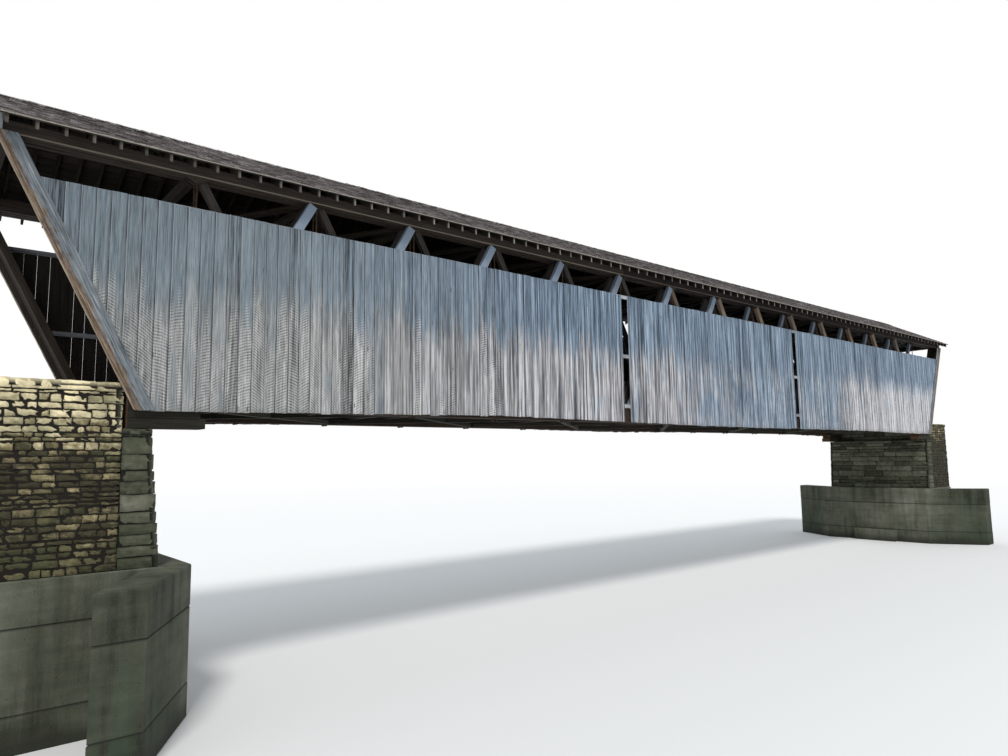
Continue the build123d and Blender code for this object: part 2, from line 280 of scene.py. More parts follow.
# Material code
class Nodes:
    """A node tree, and the code that adds nodes to it."""

    def __init__(self, owner):
        owner.use_nodes = True
        self.tree = owner.node_tree

    def put(self, socket, value):
        if isinstance(value, bpy.types.NodeSocket):
            self.tree.links.new(value, socket)
        elif value is not None:
            if isinstance(value, (tuple, list)) and len(value) == 3 and socket.type == "RGBA":
                value = (*value, 1.0)
            socket.default_value = value

    def node(self, kind, *values, settings=None, out=0, **inputs):
        made = self.tree.nodes.new("ShaderNode" + kind)
        for key, value in (settings or {}).items():
            setattr(made, key, value)
        for key, value in [*enumerate(values), *inputs.items()]:
            self.put(made.inputs[key], value)
        return made.outputs[out]

    def math(self, how, *values):
        return self.node("Math", *values, settings={"operation": how})

    def seen_directly(self):
        """1 where a ray comes from the camera, a mirror or glass, so that the background shows there."""
        path = self.tree.nodes.new("ShaderNodeLightPath").outputs
        total = path["Is Camera Ray"]
        for other in ("Is Glossy Ray", "Is Transmission Ray"):
            total = self.math("MAXIMUM", total, path[other])
        return total


class Paint(Nodes):
    """A material with short names for the nodes that this scene uses."""

    def __init__(self, name):
        self.material = bpy.data.materials.new(name)
        super().__init__(self.material)
        self.shader = self.tree.nodes["Principled BSDF"]
        self.surface(0.85, 0.25)

    def surface(self, rough, specular, metallic=0.0):
        for name, value in (("Roughness", rough), ("Specular IOR Level", specular), ("Metallic", metallic)):
            self.put(self.shader.inputs[name], value)

    def add(self, *values):
        total = values[0]
        for value in values[1:]:
            total = self.math("ADD", total, value)
        return total

    def times(self, *values):
        total = values[0]
        for value in values[1:]:
            total = self.math("MULTIPLY", total, value)
        return total

    def swing(self, value, amount):
        """A value between 0 and 1 as a swing to both sides of 0, amount wide in all."""
        return self.times(self.add(value, -0.5), amount)

    def reroll(self, value, factor):
        """Another random number between 0 and 1, from one that is the same all over a piece."""
        return self.math("FRACT", self.times(value, factor))

    def off(self, value, centre):
        """Distance of a value from a centre."""
        return self.math("ABSOLUTE", self.add(value, -centre))

    def value(self, name):
        return self.node("Attribute", settings={"attribute_name": name}, out=2)

    def grain(self):
        return self.node("Attribute", settings={"attribute_name": "grain"}, out=1)

    def place(self):
        return self.node("TexCoord", out=3)

    def split(self, vector):
        made = self.tree.nodes.new("ShaderNodeSeparateXYZ")
        self.put(made.inputs[0], vector)
        return made.outputs

    def join(self, x, y, z):
        return self.node("CombineXYZ", x, y, z)

    def noise(self, vector, scale=1.0, detail=3.0, rough=0.5):
        return self.node("TexNoise", Vector=vector, Scale=scale, Detail=detail, Roughness=rough)

    def streaks(self, grain, wide, long, detail=4.0, rough=0.6, shift=0.0):
        """Noise stretched along the grain. A shift of its seed gives other streaks."""
        across, along, seed = grain
        seed = self.add(seed, shift) if shift else seed
        place = self.join(self.times(across, wide), self.times(along, long), seed)
        return self.noise(place, 1.0, detail, rough)

    def cells(self, vector, scale, out=0):
        return self.node("TexVoronoi", Vector=vector, Scale=scale, out=out)

    def ramp(self, value, places, colours):
        made = self.tree.nodes.new("ShaderNodeValToRGB")
        self.put(made.inputs[0], value)
        while len(made.color_ramp.elements) < len(places):
            made.color_ramp.elements.new(0.5)
        for element, place, colour in zip(made.color_ramp.elements, places, colours):
            element.position = place
            element.color = (*colour, 1.0)
        return made.outputs[0]

    def fade(self, value, low, high, to_low=0.0, to_high=1.0):
        return self.node("MapRange", value, low, high, to_low, to_high)

    def pick(self, factor, first, last):
        """A number between first, at a factor of 0, and last, at 1."""
        return self.fade(factor, 0.0, 1.0, first, last)

    def mix(self, factor, a, b):
        made = self.tree.nodes.new("ShaderNodeMix")
        made.data_type = "RGBA"
        for socket, value in ((0, factor), (6, a), (7, b)):
            self.put(made.inputs[socket], value)
        return made.outputs[2]

    def bump(self, height, strength, distance):
        self.put(self.shader.inputs["Normal"],
                 self.node("Bump", Height=height, Strength=strength, Distance=distance))

    def colour(self, value):
        self.put(self.shader.inputs["Base Color"], value)
        return self.material


def wood_paint(name, dark, middle, light, tip=None, contrast=1.0):
    """Sawn timber: long streaks, fine grain, a tone for each piece, and ends of another colour."""
    p = Paint(name)
    grain = p.split(p.grain())
    streak = p.streaks(grain, 38.0, 1.3)
    fine = p.streaks(grain, 190.0, 5.0, 2.0)
    level = p.add(p.swing(streak, 1.3 * contrast), p.swing(fine, 0.5 * contrast),
                  p.swing(p.value("tone"), 0.5), 0.45)
    paint = p.ramp(level, (0.0, 0.45, 0.95), (dark, middle, light))
    if tip:
        paint = p.mix(p.value("extra"), paint, tip)
    p.bump(p.add(streak, p.times(fine, 0.6)), 0.4, 0.004)
    return p.colour(paint)


# Siding: greys from dark to light, at the near end and further along. The smooth greys carry a blue cast, a
# painted sky shade, strongest further along
SIDING_STEPS = (0, 0.35, 0.6, 0.95)
SMOOTH_SKY_SHADE_NEAR = ((0.025, 0.03, 0.035), (0.125, 0.152, 0.175), (0.195, 0.232, 0.26), (0.33, 0.365, 0.39))
SMOOTH_SKY_SHADE_FAR = ((0.025, 0.038, 0.055), (0.11, 0.152, 0.208), (0.19, 0.258, 0.34), (0.37, 0.45, 0.535))
ROUGH_NEAR = ((0.045, 0.045, 0.043), (0.20, 0.205, 0.20), (0.345, 0.345, 0.335), (0.6, 0.59, 0.57))
ROUGH_FAR = ((0.06, 0.058, 0.06), (0.24, 0.233, 0.245), (0.41, 0.395, 0.41), (0.68, 0.665, 0.685))
SAW_PITCH = 0.054


def saw_marks(p, grain, saw, rise):
    """Rough patches, and in them fine lines that slant and curve differently on each board."""
    a, v, s = grain
    way = p.math("SIGN", p.add(saw, -0.5))
    lean = p.times(way, p.pick(p.reroll(saw, 5), 0.25, 0.9))
    arc = p.add(p.times(a, lean), p.times(a, p.times(a, 0.9)))
    wave = p.add(v, arc, p.times(p.noise(p.join(a, v, s), 3), 0.05))
    lines = p.fade(p.math("SINE", p.times(wave, 2 * math.pi / SAW_PITCH)), -0.35, 0.75)
    depth = p.fade(p.streaks(grain, 18, 6, 2, shift=3.1), 0.3, 0.6, 0.35, 1)
    patch = p.add(p.streaks(grain, 7, 0.6, 3, shift=7.3), p.swing(p.reroll(saw, 9), 0.3))
    rough = p.times(p.fade(p.add(patch, p.fade(rise, 2.6, 1.2, -0.2, 0.14)), 0.43, 0.55),
                    p.fade(rise, 3.2, 2.2, 0.15, 1))
    return rough, p.times(lines, p.times(rough, depth))


def bleach_and_painted_sun(p, x, rise, tone, cloud, far):
    """The lower half paler, partly from sun bleaching and partly as painted sunlight below the eave's shade;
    less so beside the middle of the bridge, which is in painted shade; and darker in dim places.
    """
    # The first factor is 0.25 beside the middle of the bridge, a painted shade, and rises to 1 further out
    # as painted sunlight
    painted_sunlit = p.fade(p.off(x, 3.2), 4, 6.2, 0.25, 1)
    border = p.add(rise, p.swing(cloud, 0.9), p.swing(p.reroll(tone, 5), p.pick(far, 0.8, 0.35)))
    foot_half = p.fade(border, 2.3, 1.65)
    dim = p.add(p.times(p.fade(p.off(x, -6.4), 2.8, 1.2, 0, 0.1), p.pick(foot_half, 1, 0.2)),
                p.fade(x, -16.6, -17.6, 0, 0.09))
    return painted_sunlit, foot_half, dim


def board_marks(p, paint, grain, tone, cloud, rise, far):
    """Knots, a pale arris, dark board edges at the joints as painted shadow in the grooves and weathering,
    and a stained foot, over the paint of a board.
    """
    knot_brown, bare = (0.03, 0.028, 0.027), (0.5, 0.51, 0.52)
    shadow, stain = (0.015, 0.017, 0.02), (0.12, 0.115, 0.10)
    a, v, s = grain
    knot = p.cells(p.join(p.times(a, 6.5), p.times(v, 1.1), s), 1)
    knotty = p.fade(p.reroll(tone, 11), 0.4, 0.5)
    paint = p.mix(p.times(p.fade(knot, 0.085, 0.05), knotty), paint, knot_brown)
    paint = p.mix(p.fade(a, -0.100, -0.112, 0, 0.4), paint, bare)
    reach = p.times(p.fade(p.reroll(tone, 7), 0.6, 0.9, 0, 0.022), p.pick(far, 0.2, 1))
    # Dark rims along the board edges: painted shadow in the grooves between boards
    rim = p.times(p.fade(p.add(a, reach), 0.088, 0.106), p.pick(far, 0.75, 1),
                  p.fade(p.streaks(grain, 2, 1.3, 2), 0.35, 0.6, 0.5, 1))
    paint = p.mix(rim, paint, shadow)
    foot = p.fade(p.add(rise, p.swing(cloud, 0.3)), 0.12, 0, 0, 0.35)
    return p.mix(foot, paint, stain)


def siding_paint():
    """Weathered boards: planed smooth and blue-grey in places, sawn rough and silvery in others. The
    blue-grey is partly a painted sky shade on the upper boards, and the silvery lower half is partly painted
    sunlight.
    """
    p = Paint("weathered_siding")
    grain = p.split(p.grain())
    x, y, z = p.split(p.place())
    tone, saw = p.value("tone"), p.value("extra")
    streak = p.streaks(grain, 30, 0.6, 5, 0.68)
    crack = p.streaks(grain, 14, 0.35, 3, 0.6, shift=5.7)
    fine = p.streaks(grain, 130, 2.6, 3)
    cloud = p.streaks(grain, 4, 0.9, 3)
    rise = p.add(z, -SIDING_BOTTOM)
    far = p.fade(x, -15, -7)
    rough, marks = saw_marks(p, grain, saw, rise)
    painted_sunlit, foot_half, dim = bleach_and_painted_sun(p, x, rise, tone, cloud, far)
    low = p.times(foot_half, painted_sunlit)

    # Level of grey
    worn = p.fade(tone, 0.10, 0.05)
    split = p.times(low, far)
    level = p.add(p.swing(streak, p.add(p.pick(far, 0.95, 2.4), worn, p.times(split, 1.2))),
                  p.swing(crack, p.add(p.pick(far, 0.3, 1.6), p.times(split, 1.4))),
                  p.swing(fine, 1.2), p.swing(tone, p.pick(far, 0.10, 0.2)), p.swing(cloud, 0.3),
                  p.times(worn, -0.1), p.times(dim, -1), 0.47)
    # Painted sunlight: rough patches lighter where sunlit, the lower half lighter at the right end, and the
    # lower half beside the middle lifted a little
    bright = p.add(p.times(rough, p.times(painted_sunlit, 0.15)), p.times(low, p.fade(x, 8, 11.5, 0, 0.3)),
                   p.times(foot_half, p.fade(painted_sunlit, 0.25, 1, 0.13, 0)))
    level = p.add(level, p.times(marks, p.pick(far, -0.36, -0.55)), bright,
                  p.times(rough, p.times(far, 0.04)))

    # Smooth and silvery wood, mixed in patches. The lower half turns silvery as bleaching and painted
    # sunlight, while the upper boards stay blue-grey as painted shade
    smooth = p.mix(far, *(p.ramp(level, SIDING_STEPS, greys) for greys in (SMOOTH_SKY_SHADE_NEAR, SMOOTH_SKY_SHADE_FAR)))
    silver = p.mix(far, *(p.ramp(level, SIDING_STEPS, greys) for greys in (ROUGH_NEAR, ROUGH_FAR)))
    spot = p.join(p.times(x, 1.1), p.times(y, 1.1), p.add(p.times(z, 1.6), p.times(grain[2], 0.004)))
    blotch = p.noise(spot, 1, 4, 0.6)
    amount = p.add(p.times(rough, p.times(painted_sunlit, 0.45)), p.times(low, 0.6),
                   p.swing(blotch, p.times(foot_half, p.pick(far, 0.4, 2))))
    paint = p.mix(p.math("MINIMUM", 1, p.math("MAXIMUM", 0, amount)), smooth, silver)
    paint = board_marks(p, paint, grain, tone, cloud, rise, far)

    # Inner faces: dark unweathered wood, darkened further as painted shade of the covered interior
    facing = p.split(p.node("TexCoord", out=1))
    inner = p.fade(p.times(facing[1], p.math("SIGN", y)), -0.4, -0.6)
    dark = p.ramp(level, (0.1, 0.9), ((0.012, 0.009, 0.007), (0.05, 0.04, 0.032)))
    p.bump(p.add(p.times(streak, 1), p.times(fine, 0.5), p.times(marks, -0.8)), 0.55, 0.006)
    return p.colour(p.mix(inner, paint, dark))


def trim_paint():
    """Splintery board: a pale outer edge, then a band of brown rot, then the siding's blue-grey."""
    browns = ((0.02, 0.012, 0.009), (0.13, 0.09, 0.062), (0.255, 0.195, 0.145), (0.42, 0.36, 0.28))
    greys = ((0.04, 0.045, 0.05), (0.135, 0.155, 0.17), (0.215, 0.24, 0.26), (0.34, 0.36, 0.375))
    rotten, bare = (0.05, 0.026, 0.016), (0.36, 0.31, 0.22)
    p = Paint("trim_board")
    grain = p.split(p.grain())
    streak = p.streaks(grain, 34, 1.4, 6, 0.7)
    fine = p.streaks(grain, 150, 4, 4, 0.7)
    patch = p.streaks(grain, 6, 2.6, 6, 0.7)
    level = p.add(p.swing(streak, 2.4), p.swing(fine, 1), p.swing(patch, 0.7), 0.45)
    brown, grey = (p.ramp(level, (0, 0.4, 0.7, 1), tones) for tones in (browns, greys))
    across = p.math("ABSOLUTE", grain[0])
    paint = p.mix(p.fade(p.add(across, p.swing(patch, 0.35)), 0.12, 0.17), brown, grey)
    rot = p.times(p.fade(patch, 0.56, 0.66), p.fade(across, 0.2, 0.12))
    paint = p.mix(p.times(rot, 0.7), paint, rotten)
    edge = p.fade(p.add(across, p.swing(streak, 0.03)), 0.035, 0.018)
    p.bump(p.add(streak, p.times(fine, 0.5), p.times(patch, 0.8)), 0.9, 0.01)
    return p.colour(p.mix(p.times(edge, 0.8), paint, bare))


def shingle_paint():
    """Split shingles, grey with a warm cast and mottled, paler at the butts of the lowest course."""
    greys = ((0.02, 0.017, 0.017), (0.092, 0.079, 0.077), (0.22, 0.192, 0.188), (0.48, 0.44, 0.435))
    moss_green, butt = (0.075, 0.083, 0.058), (0.40, 0.365, 0.31)
    p = Paint("wood_shingle")
    place = p.place()
    streak = p.streaks(p.split(p.grain()), 55, 5)
    patch = p.noise(place, 0.7, 5, 0.65)
    level = p.add(p.swing(streak, 0.9), p.swing(p.value("tone"), 0.48), p.swing(patch, 0.75), 0.48)
    paint = p.ramp(level, (0, 0.3, 0.6, 1), greys)
    paint = p.mix(p.fade(p.noise(place, 2.1, 6, 0.7), 0.58, 0.7, 0, 0.35), paint, moss_green)
    p.bump(streak, 0.6, 0.004)
    return p.colour(p.mix(p.times(p.value("extra"), 0.85), paint, butt))


def stone_paint(name, joint, dark, middle, light, moss, rise, shaded=0):
    """Stones of different tones with grainy faces and dark joints. rise lightens them with height, which on
    the rubble is a painted sunlight on the wall's top, and shaded darkens those at the right end as painted
    shade."""
    p = Paint(name)
    grain, place = p.grain(), p.place()
    rough = p.noise(grain, 7, 8, 0.65)
    fine = p.noise(grain, 70, 4, 0.6)
    flat = p.node("VectorMath", grain, (1.5, 1.5, 14), settings={"operation": "MULTIPLY"})
    layers = p.noise(flat, 1, 4, 0.6)
    stain = p.noise(place, 0.9, 6, 0.7)
    x, y, height = p.split(place)
    level = p.add(p.swing(rough, 1.2), p.swing(fine, 0.6), p.swing(layers, 0.5),
                  p.swing(p.value("tone"), 0.7), p.fade(p.add(height, p.swing(stain, 1.5)), *rise),
                  p.fade(x, -1, 1, 0, -shaded))
    paint = p.ramp(level, (0.05, 0.48, 0.95), (dark, middle, light))
    paint = p.mix(p.fade(stain, 0.46, 0.64, 0, 0.7), paint, moss)
    p.bump(p.add(rough, p.times(fine, 0.3), p.times(layers, 0.3)), 0.7, 0.015)
    return p.colour(p.mix(p.fade(p.value("extra"), 0.75, 0.15), paint, joint))


def concrete_paint():
    """Board-formed concrete, dark partly as painted shade: a darker, greener foot, wings darkened as painted
    shade, run stains, holes and lift joints.
    """
    greys = ((0.02, 0.023, 0.015), (0.068, 0.072, 0.05), (0.125, 0.127, 0.095), (0.24, 0.235, 0.19))
    algae, seam = (0.026, 0.046, 0.026), (0.02, 0.022, 0.015)
    wet, pit = (0.018, 0.02, 0.014), (0.012, 0.012, 0.01)
    p = Paint("concrete")
    place = p.place()
    x, y, z = p.split(place)
    big = p.noise(place, 0.6, 7, 0.65)
    run = p.noise(p.join(p.times(x, 3.2), p.times(y, 3.2), p.times(z, 0.3)), 1, 5, 0.6)
    boards = p.noise(p.join(p.times(x, 0.5), p.times(y, 0.5), p.times(z, 6)), 1, 2)
    fine = p.noise(place, 55, 5, 0.65)
    # The splayed wings are darkened: painted shade on the faces turned away
    wing = p.fade(p.math("ABSOLUTE", y), STONE_HALF - 0.1, STONE_HALF + 0.6)
    level = p.add(p.swing(big, 1.3), p.swing(run, 1.2), p.swing(boards, 0.35), p.swing(fine, 0.5),
                  p.swing(p.value("tone"), 0.3), p.fade(z, 0.1, 1.6, 0.46, 0.56), p.times(wing, -0.24))
    paint = p.ramp(level, (0, 0.35, 0.6, 0.95), greys)
    green = p.times(p.fade(p.add(run, p.times(wing, 0.1)), 0.5, 0.64), p.fade(z, 2.6, 0.8, 0.25, 0.65))
    paint = p.mix(green, paint, algae)
    for lift in LIFTS[1:-1]:
        away = p.math("ABSOLUTE", p.add(z, -lift, p.swing(fine, 0.02)))
        paint = p.mix(p.fade(away, 0.03, 0.008, 0, 0.7), paint, seam)
    paint = p.mix(p.fade(p.add(z, p.swing(big, 0.25)), 0.38, 0.1, 0, 0.8), paint, wet)
    hole = p.fade(p.cells(place, 7), 0.09, 0.05)
    relief = p.add(p.times(big, 0.8), p.times(boards, 0.25), p.times(fine, 0.15), p.times(hole, -0.4))
    p.bump(relief, 0.5, 0.02)
    return p.colour(p.mix(p.times(hole, 0.7), paint, pit))


def iron_paint():
    """Rusted iron."""
    browns = ((0.02, 0.013, 0.01), (0.07, 0.04, 0.025), (0.13, 0.075, 0.045))
    p = Paint("iron_rod")
    rust = p.noise(p.place(), 14, 6, 0.7)
    p.surface(0.7, 0.25, 0.35)
    p.bump(rust, 0.4, 0.002)
    return p.colour(p.ramp(rust, (0.3, 0.55, 0.75), browns))


def gravel_paint():
    """Pebbles of different greys, with earth between them in patches."""
    pebble, earth = 45, (0.12, 0.1, 0.07)
    p = Paint("gravel")
    place = p.place()
    bright = p.node("RGBToBW", p.cells(place, pebble, out=1))
    paint = p.ramp(bright, (0.1, 0.5, 0.9), ((0.09, 0.08, 0.06), (0.22, 0.2, 0.16), (0.4, 0.37, 0.31)))
    p.bump(p.math("SUBTRACT", 1, p.cells(place, pebble)), 0.8, 0.02)
    return p.colour(p.mix(p.fade(p.noise(place, 1.3, 5), 0.45, 0.65, 0, 0.6), paint, earth))


siding_material = siding_paint()
trim_material = trim_paint()
# Framing, rafters, upper chord, bolsters, chords and roof boards are near black: dark wood, darkened further
# as painted shade of the covered interior and the bridge's underside
frame_material = wood_paint("framing_timber", (0.006, 0.0045, 0.0035), (0.021, 0.0155, 0.011),
                            (0.055, 0.043, 0.032), tip=(0.09, 0.07, 0.053))
rafter_material = wood_paint("rafter_timber", (0.006, 0.0045, 0.0035), (0.02, 0.015, 0.011),
                             (0.05, 0.04, 0.03), tip=(0.34, 0.31, 0.27))
# The braces' tip colour is a pale sky-lit blue-grey, the painted light on the lit braces
brace_material = wood_paint("brace_timber", (0.014, 0.012, 0.010), (0.05, 0.04, 0.032),
                            (0.25, 0.175, 0.11), tip=(0.235, 0.29, 0.365), contrast=0.9)
upper_chord_material = wood_paint("upper_chord_timber", (0.008, 0.006, 0.005), (0.036, 0.027, 0.022),
                                  (0.09, 0.068, 0.053), tip=(0.2, 0.165, 0.13))
bolster_material = wood_paint("bolster_timber", (0.005, 0.005, 0.003), (0.018, 0.016, 0.0105),
                              (0.048, 0.043, 0.03), tip=(0.16, 0.085, 0.045))
chord_material = wood_paint("chord_timber", (0.006, 0.004, 0.003), (0.03, 0.0185, 0.0115),
                            (0.075, 0.05, 0.033), tip=(0.13, 0.1, 0.07))
deck_material = wood_paint("deck_plank", (0.03, 0.025, 0.02), (0.12, 0.105, 0.088), (0.26, 0.24, 0.21),
                           tip=(0.2, 0.17, 0.13))
roof_board_material = wood_paint("roof_board", (0.006, 0.0045, 0.003), (0.02, 0.015, 0.011),
                                 (0.05, 0.04, 0.03))
nailer_material = wood_paint("nailer", (0.10, 0.10, 0.105), (0.30, 0.31, 0.33), (0.5, 0.52, 0.54))
shingle_material = shingle_paint()
# The limestone's dark olive is partly painted shade
stone_material = stone_paint("limestone", (0.006, 0.006, 0.004), (0.03, 0.032, 0.02), (0.095, 0.097, 0.066),
                             (0.2, 0.195, 0.15), (0.05, 0.058, 0.032), (FOOTING_TOP, DECK_TOP, 0.38, 0.62))
# The rubble's rise is painted sunlight on the top of the wall and painted shade lower down; shaded is
# painted shade at the right end
rubble_material = stone_paint("rubble", (0.010, 0.008, 0.005), (0.04, 0.034, 0.019), (0.25, 0.205, 0.11),
                              (0.95, 0.82, 0.52), (0.07, 0.075, 0.034),
                              (SEAT_LEVEL - 0.5, DECK_TOP - 0.35, 0.06, 1.08), shaded=0.65)
concrete_material = concrete_paint()
iron_material = iron_paint()
gravel_material = gravel_paint()

# Upright boards, for the siding and the gables
SIDING_WIDTH, SIDING_LEAST, GABLE_WIDTH, GABLE_LEAST = (0.236, 0.010), 0.09, (0.2, 0.012), 0.07
ARRIS, WARP, GRAIN_SPAN = 0.004, 0.0015, 0.232
GROOVE, SHRUNK_GAP, SHRUNK_TO = (0.002, 0.005), (0.003, 0.006), -17.0
NAIL_RADIUS, NAIL_INSET = 0.0055, 0.045


def board(stack, place, x0, x1, bottom, top, groove, open_gap=0.0):
    """One board with V-shaped edges. place maps a distance, a depth and a level to a point."""
    width = x1 - x0
    near, far = x0 + open_gap / 2, x1 - open_gap / 2
    across = [near + groove, near + groove + GAP, x0 + 0.3 * width, x0 + 0.7 * width,
              far - groove - GAP, far - groove]
    out = [BOARD - ARRIS] + [BOARD - HAIR] * 4 + [BOARD - ARRIS]
    levels = [0.0, 0.03, 0.2, 0.4, 0.6, 0.8, 0.97, 1.0]
    cup = [0.0] + [-abs(normal(0, WARP))] * 4 + [0.0]
    bow = -np.abs(normal(0, WARP, len(levels)))
    low = [bottom(x) + normal(0, 0.003) for x in across]
    high = [top(x) - abs(normal(0, 0.002)) for x in across]
    seed, middle = uniform(0, SEEDS), (x0 + x1) / 2
    scale = GRAIN_SPAN / width
    verts, grain = [], []
    for sag, s in zip(bow, levels):
        ring = [(x, o + sag + c, a + (b - a) * s) for x, o, c, a, b in zip(across, out, cup, low, high)]
        ring.append((far - 0.0004, 0.0, ring[5][2]))
        ring.append((near + 0.0004, 0.0, ring[0][2]))
        for x, o, z in ring:
            verts.append(place(x, o, z))
            grain.append(((x - middle) * scale, z + seed, seed))
    stack.add(verts, tube_faces(len(levels), 8), grain, None, uniform(0, 1))


# Level of the siding's lower edge along the front: trimmed by hand, so it wanders
EDGE = [(-19.5, -0.02), (-16.5, -0.012), (-13.0, 0.07), (-9.4, 0.15), (-7.8, 0.13), (-5.6, 0.10),
        (-3.5, 0.063), (-1.1, 0.023), (1.7, 0.007), (4.9, 0.02), (10.9, 0.02), (13.4, -0.03), (14.7, -0.05),
        (19.5, -0.05)]


def edge_level(x, side):
    """Height of the trimmed edge over the siding's foot. At the back, both halves follow its left half."""
    where = -abs(x) if side > 0 else x
    return 0.75 * np.interp(where, *zip(*EDGE))


def nail(stack, place, x, z):
    """A round nail head."""
    ring = [place(x + NAIL_RADIUS * math.cos(t), BOARD - HAIR, z + NAIL_RADIUS * math.sin(t))
            for t in np.linspace(0, 5.2, 6)]
    ring.append(place(x, BOARD + 0.0015, z))
    stack.add(ring, [(k, (k + 1) % 6, 6) for k in range(6)], ring)


def siding(name, side, start, stop):
    """A row of boards from start to stop along the bridge, trimmed to the raked edge of a portal."""
    boards, nails = Stack(), Stack()

    def place(u, o, z):
        return (u, side * (BACK + o), z)

    for x, width in spans(start, stop, normal, SIDING_WIDTH, SIDING_LEAST, 0.02):
        step, rise = normal(0, 0.006), normal(0, 0.006)
        shrunk = side > 0 and x < SHRUNK_TO and uniform() < 0.5
        gap = uniform(*SHRUNK_GAP) if shrunk else 0.0
        groove = uniform(*GROOVE)

        def bottom(q):
            raked = SIDING_BOTTOM + (abs(q) - PORTAL_FOOT + 0.02) / PORTAL_SLOPE
            return max(SIDING_BOTTOM + edge_level(q, side) + step, raked)

        if bottom(x + width / 2) < SIDING_TOP - 0.1:
            board(boards, place, x, x + width, bottom, lambda q: SIDING_TOP - 0.008 + rise, groove, gap)
            for level in NAILER_RISES:
                for edge in (NAIL_INSET, width - NAIL_INSET):
                    z = SIDING_BOTTOM + level + normal(0, 0.012)
                    if bottom(x + edge) < z - 0.03:
                        nail(nails, place, x + edge + normal(0, 0.006), z)
    boards.make(name + "_boards", siding_material, name, "weathered_siding")
    nails.make(name + "_nails", iron_material, name, "iron_rod")


outer = portal_edge(SIDING_TOP)
for name, side in SIDES:
    siding(f"{name}_siding_left", side, -outer, -SLIT_OUTER)
    siding(f"{name}_siding_middle", side, -SLIT_INNER, SLIT_INNER)
    siding(f"{name}_siding_right", side, SLIT_OUTER, outer)

# Gables: upright boards under the roof
for name, end in ENDS:
    stack = Stack()
    for y, width in spans(-FACE, FACE, normal, GABLE_WIDTH, GABLE_LEAST):
        board(stack, lambda u, o, z: (end * (UPPER_END + o), u, z), y, y + width,
              lambda q: UPPER_BOTTOM + 0.003, lambda q: rafter_top(q) - GAP, 0.003)
    stack.make(f"{name}_gable_boards", siding_material, f"{name}_gable", "weathered_siding")

# Trim over the raked edges of the siding: a board on each side of a portal
for name, end in ENDS:
    stack = Stack()
    run = TRIM_WIDTH * PORTAL_PITCH
    foot, head = portal_edge(SIDING_BOTTOM), portal_edge(UPPER_BOTTOM)
    outline = [(end * foot, SIDING_BOTTOM), (end * (foot - run), SIDING_BOTTOM),
               (end * (head - run), UPPER_BOTTOM), (end * head, UPPER_BOTTOM)]
    for side in (-1, 1):
        prism(stack, roughen(outline, 0.12, 0.0026), lambda u, o, v: (u, side * (FACE + o), v), TRIM_THICK,
              cut=0.004, along=(end * PORTAL_SLOPE, 1), origin=outline[0])
    stack.make(f"{name}_trim_boards", trim_material, f"{name}_portal_trim", "trim_board")

# Nailers between the truss and the siding
for name, side in SIDES:
    stack = Stack()
    y = side * (TRUSS_OUTER + BACK) / 2
    for rise in NAILER_RISES:
        z = SIDING_BOTTOM + rise
        reach = portal_edge(z) - POST_SETBACK - 0.03
        joints = [c + uniform(-NAILER_SHIFT, NAILER_SHIFT)
                  for c in np.arange(-LAST_JOINT, LAST_JOINT + 1, NAILER_LENGTH)]
        for a, b in pairwise([-reach, *joints, reach]):
            bar(stack, (a + GAP, y, z), (b - GAP, y, z), (0, 1, 0), NAILER_DEPTH, BACK - TRUSS_OUTER - HAIR,
                rings=5, cut=0.003, wobble=0.001)
    stack.make(f"{name}_nailer_rails", nailer_material, f"{name}_nailers", "framing_timber")

# Chords: sticks in lengths that butt end to end, staggered from stick to stick. In the upper chord, the
# outer stick is lower, because the rafters sit on it, and has a pale strip along its foot
STRIP, STRIP_THICK, STRIP_INSET, STRIP_RISE = 0.026, 0.022, 0.008, 0.014
SPLICE, STAGGER = 4 * PANEL, 1.5 * PANEL


def chord(name, side, which, low, depth, end):
    stack = Stack()
    for lane in (-1, 0, 1):
        planed = which == "upper" and lane == 1
        y = side * (TRUSS_MIDDLE + lane * LANE)
        size = depth - ROOF_SLOPE * SEAT if planed else depth
        inner_y, middle = (y - 0.004 * side if planed else y), low + size / 2
        cuts = [c + lane * STAGGER + PANEL / 2 for c in (-SPLICE, 0.0, SPLICE)]
        for a, b in pairwise([-end, *cuts, end]):
            # On the upper chord, the sticks and their pale strip darken towards the right end: a painted
            # shade
            near = np.interp((a + b) / 2, [-6, 3], [1.0, 0.15]) if which == "upper" else 0.75
            bar(stack, (a + GAP, inner_y, middle), (b - GAP, inner_y, middle), (0, -1, 0), size, STICK,
                rings=8, wobble=0.0015, tip=0.6, tone=near - 0.4 + uniform(-0.1, 0.1))
            if planed:
                edge, z = y + side * (STICK / 2 - STRIP_INSET), low + STRIP_RISE
                bar(stack, (a + 0.01, edge, z), (b - 0.01, edge, z), (0, -1, 0), STRIP, STRIP_THICK,
                    rings=8, cut=0.004, wobble=0.0, extra=near)
    material = upper_chord_material if which == "upper" else chord_material
    stack.make(f"{name}_{which}_chord_sticks", material, f"{name}_{which}_chord", "framing_timber")


for name, side in SIDES:
    chord(name, side, "lower", LOWER_BOTTOM, LOWER_TOP - LOWER_BOTTOM, CHORD_END)
    chord(name, side, "upper", UPPER_BOTTOM, UPPER_TOP - UPPER_BOTTOM, UPPER_END)

